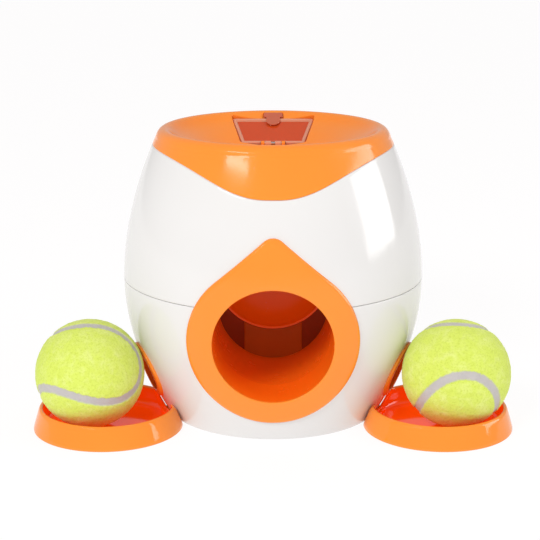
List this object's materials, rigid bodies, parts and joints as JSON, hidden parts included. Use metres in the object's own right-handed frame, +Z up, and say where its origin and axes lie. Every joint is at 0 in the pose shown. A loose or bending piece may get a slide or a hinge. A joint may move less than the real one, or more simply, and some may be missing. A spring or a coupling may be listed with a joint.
{
  "type": "dog ball and treat dispenser",
  "caption": "Round-bellied dog toy: a ball dropped in the front hole rocks a geared cradle, which meters treats from the top hopper to two side outlets over dish trays.",
  "frame": {"origin": "centre of the anti-slip ring's standing face", "axes": "+Z up, the front hole faces -Y, +X to the right seen from the front"},
  "size_m": [0.288, 0.1837, 0.1756],
  "materials": {
    "white_plastic": "gloss moulded",
    "orange_plastic": "gloss moulded",
    "clear_plastic": "clear tinted",
    "grey_nylon": "satin moulded",
    "dark_rubber": "matt",
    "brown_rubber": "satin",
    "steel": "turned",
    "brass": "turned",
    "felt": "napped felt",
    "ball_rubber": "matt"
  },
  "bodies": {
    "chassis": {"lower_shell": "white_plastic", "upper_shell": "white_plastic", "base_plate": "white_plastic", "anti_slip_ring": "dark_rubber", "base_screws": "steel", "seam_screws": "steel", "cap_screws": "steel", "top_cap": "orange_plastic", "hopper_bin": "orange_plastic", "front_trim": "orange_plastic", "inlet_collar": "orange_plastic", "side_trim_left": "orange_plastic", "side_trim_right": "orange_plastic", "treat_floor": "orange_plastic", "front_bearing_plate": "grey_nylon", "rear_bearing_plate": "grey_nylon", "bearing_bushes": "brass", "drum_housing": "grey_nylon", "treat_slide": "orange_plastic", "door_hinge_pin": "steel"},
    "cradle": {"ball_cradle": "orange_plastic", "ball_bumper": "brown_rubber", "cradle_shaft": "steel", "cradle_gear": "grey_nylon", "cradle_clip": "steel"},
    "metering_drum": {"treat_drum": "orange_plastic", "drum_shaft": "steel", "drum_gear": "grey_nylon", "drum_clip": "steel"},
    "door": {"hopper_door": "clear_plastic", "door_latch": "clear_plastic"},
    "left_tray": {"tray_left": "orange_plastic"},
    "right_tray": {"tray_right": "orange_plastic"},
    "left_ball": {"ball_left": "felt", "ball_left_core": "ball_rubber"},
    "right_ball": {"ball_right": "felt", "ball_right_core": "ball_rubber"}
  },
  "joints": [
    {"name": "cradle_rock", "type": "hinge", "parent": "chassis", "child": "cradle", "pos_m": [0, 0.03, 0.056], "axis": [0, 1, 0], "range_deg": [-35, 35]},
    {"name": "drum_turn", "type": "hinge", "parent": "chassis", "child": "metering_drum", "pos_m": [0, 0.048, 0.088], "axis": [0, 1, 0], "range_deg": [-87.5, 87.5]},
    {"name": "door_open", "type": "hinge", "parent": "chassis", "child": "door", "pos_m": [0, 0.03556, 0.15938], "axis": [1, 0, 0], "range_deg": [0, 100]},
    {"name": "tray_left_pull", "type": "slide", "parent": "chassis", "child": "left_tray", "axis": [-0.9268, -0.3756, 0], "range_m": [0, 0.06]},
    {"name": "tray_right_pull", "type": "slide", "parent": "chassis", "child": "right_tray", "axis": [0.9268, -0.3756, 0], "range_m": [0, 0.06]},
    {"name": "ball_left_lift", "type": "slide", "parent": "left_tray", "child": "left_ball", "axis": [-0.6553, -0.2656, 0.7071], "range_m": [0, 0.08]},
    {"name": "ball_right_lift", "type": "slide", "parent": "right_tray", "child": "right_ball", "axis": [0.6553, -0.2656, 0.7071], "range_m": [0, 0.08]}
  ],
  "couplings": [
    {"joint": "drum_turn", "follows": "cradle_rock", "ratio": -2.5}
  ]
}
